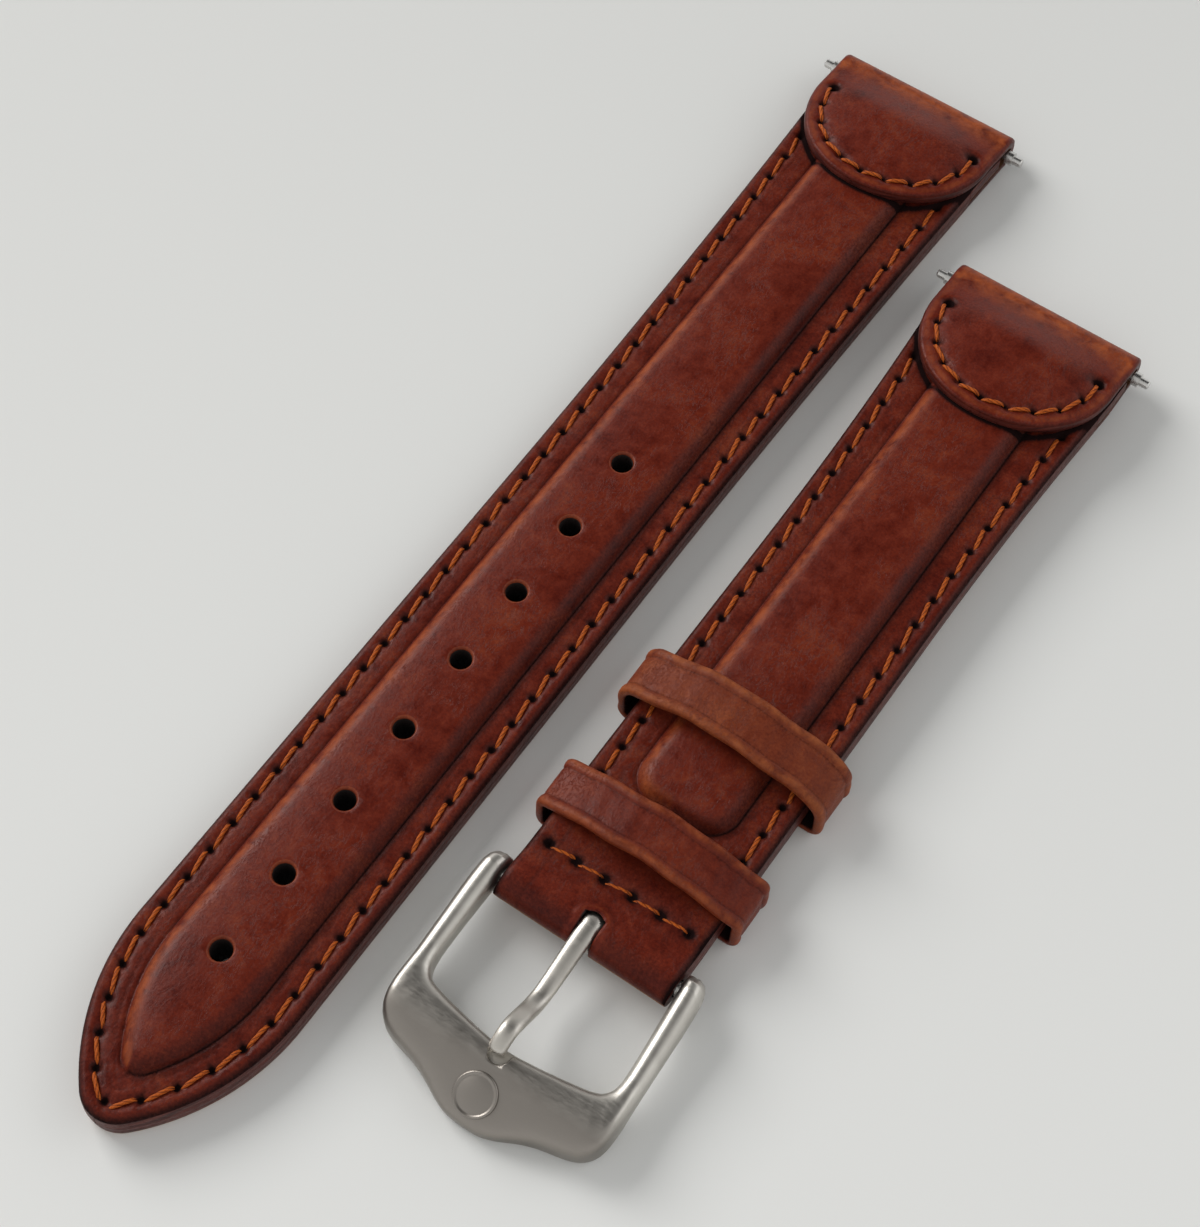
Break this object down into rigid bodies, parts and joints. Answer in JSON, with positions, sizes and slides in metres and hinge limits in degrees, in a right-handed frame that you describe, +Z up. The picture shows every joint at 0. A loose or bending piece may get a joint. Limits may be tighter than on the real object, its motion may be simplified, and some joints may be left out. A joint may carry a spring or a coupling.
{
  "type": "leather watch strap",
  "caption": "Two-piece padded leather watch strap with folded lug tabs, stitched edges, two keepers, a steel pin buckle and spring bars.",
  "frame": {"origin": "on the table, under the middle of the whole layout of both halves", "axes": "+X across both straps to the right, from the tail half to the short half; +Y along both straps to the lug ends; +Z up from the table"},
  "size_m": [0.0424, 0.1176, 0.0071],
  "materials": {
    "top_leather": "waxed chestnut pull-up leather with a burnished edge",
    "lining_leather": "smooth matt lining leather",
    "keeper_leather": "thin waxed leather with rubbed orange edges",
    "filler": "pressed leather board",
    "thread": "waxed twisted thread",
    "buckle_steel": "satin stainless steel",
    "bar_steel": "turned stainless steel"
  },
  "bodies": {
    "tail_half": {"tail_top_leather": "top_leather", "tail_padding": "filler", "tail_stiffener": "filler", "tail_lining": "lining_leather", "tail_lug_tab": "top_leather", "tail_side_seam": "thread", "tail_tab_seam": "thread"},
    "tail_bar": {"tail_bar_tube": "bar_steel", "tail_bar_spring": "bar_steel"},
    "tail_tip_left": {"tail_bar_tip_left": "bar_steel"},
    "tail_tip_right": {"tail_bar_tip_right": "bar_steel"},
    "short_half": {"short_top_leather": "top_leather", "short_padding": "filler", "short_stiffener": "filler", "short_lining": "lining_leather", "short_lug_tab": "top_leather", "short_side_seam": "thread", "short_tab_seam": "thread", "short_cross_seam": "thread", "fixed_keeper": "keeper_leather"},
    "short_bar": {"short_bar_tube": "bar_steel", "short_bar_spring": "bar_steel"},
    "short_tip_left": {"short_bar_tip_left": "bar_steel"},
    "short_tip_right": {"short_bar_tip_right": "bar_steel"},
    "buckle_bar": {"buckle_bar_tube": "bar_steel", "buckle_bar_spring": "bar_steel"},
    "buckle_tip_left": {"buckle_bar_tip_left": "bar_steel"},
    "buckle_tip_right": {"buckle_bar_tip_right": "bar_steel"},
    "keeper_ring": {"sliding_keeper": "keeper_leather"},
    "frame_body": {"buckle_frame": "buckle_steel"},
    "tongue_body": {"buckle_tongue": "buckle_steel"}
  },
  "joints": [
    {"name": "short_half_lift", "type": "slide", "parent": "tail_half", "child": "short_half", "axis": [0, 0, 1], "range_m": [0, 0.035]},
    {"name": "tail_bar_spin", "type": "hinge", "parent": "tail_half", "child": "tail_bar", "pos_m": [-0.01068, 0.05716, 0.00168], "axis": [1, 0, 0], "continuous": true},
    {"name": "tail_tip_left_slide", "type": "slide", "parent": "tail_bar", "child": "tail_tip_left", "axis": [1, 0, 0], "range_m": [0, 0.0012], "stiffness_N_per_m": 1200, "springref_m": -0.001, "deforming": ["tail_bar_spring"]},
    {"name": "tail_tip_right_slide", "type": "slide", "parent": "tail_bar", "child": "tail_tip_right", "axis": [-1, 0, 0], "range_m": [0, 0.0012], "stiffness_N_per_m": 1200, "springref_m": -0.001, "deforming": ["tail_bar_spring"]},
    {"name": "short_bar_spin", "type": "hinge", "parent": "short_half", "child": "short_bar", "pos_m": [0.01068, 0.04176, 0.00254], "axis": [1, 0, 0], "continuous": true},
    {"name": "short_tip_left_slide", "type": "slide", "parent": "short_bar", "child": "short_tip_left", "axis": [1, 0, 0], "range_m": [0, 0.0012], "stiffness_N_per_m": 1200, "springref_m": -0.001, "deforming": ["short_bar_spring"]},
    {"name": "short_tip_right_slide", "type": "slide", "parent": "short_bar", "child": "short_tip_right", "axis": [-1, 0, 0], "range_m": [0, 0.0012], "stiffness_N_per_m": 1200, "springref_m": -0.001, "deforming": ["short_bar_spring"]},
    {"name": "buckle_bar_spin", "type": "hinge", "parent": "short_half", "child": "buckle_bar", "pos_m": [0.01068, -0.02634, 0.00254], "axis": [1, 0, 0], "continuous": true},
    {"name": "buckle_tip_left_slide", "type": "slide", "parent": "buckle_bar", "child": "buckle_tip_left", "axis": [1, 0, 0], "range_m": [0, 0.0012], "stiffness_N_per_m": 1200, "springref_m": -0.001, "deforming": ["buckle_bar_spring"]},
    {"name": "buckle_tip_right_slide", "type": "slide", "parent": "buckle_bar", "child": "buckle_tip_right", "axis": [-1, 0, 0], "range_m": [0, 0.0012], "stiffness_N_per_m": 1200, "springref_m": -0.001, "deforming": ["buckle_bar_spring"]},
    {"name": "sliding_keeper_slide", "type": "slide", "parent": "short_half", "child": "keeper_ring", "axis": [0, 1, 0], "range_m": [-0.0065, 0.033]},
    {"name": "buckle_frame_swing", "type": "hinge", "parent": "short_half", "child": "frame_body", "pos_m": [0.01068, -0.02634, 0.00254], "axis": [-1, 0, 0], "range_deg": [-60, 30]},
    {"name": "tongue_swing", "type": "hinge", "parent": "frame_body", "child": "tongue_body", "pos_m": [0.01068, -0.02634, 0.00254], "axis": [-1, 0, 0], "range_deg": [0, 65]}
  ]
}
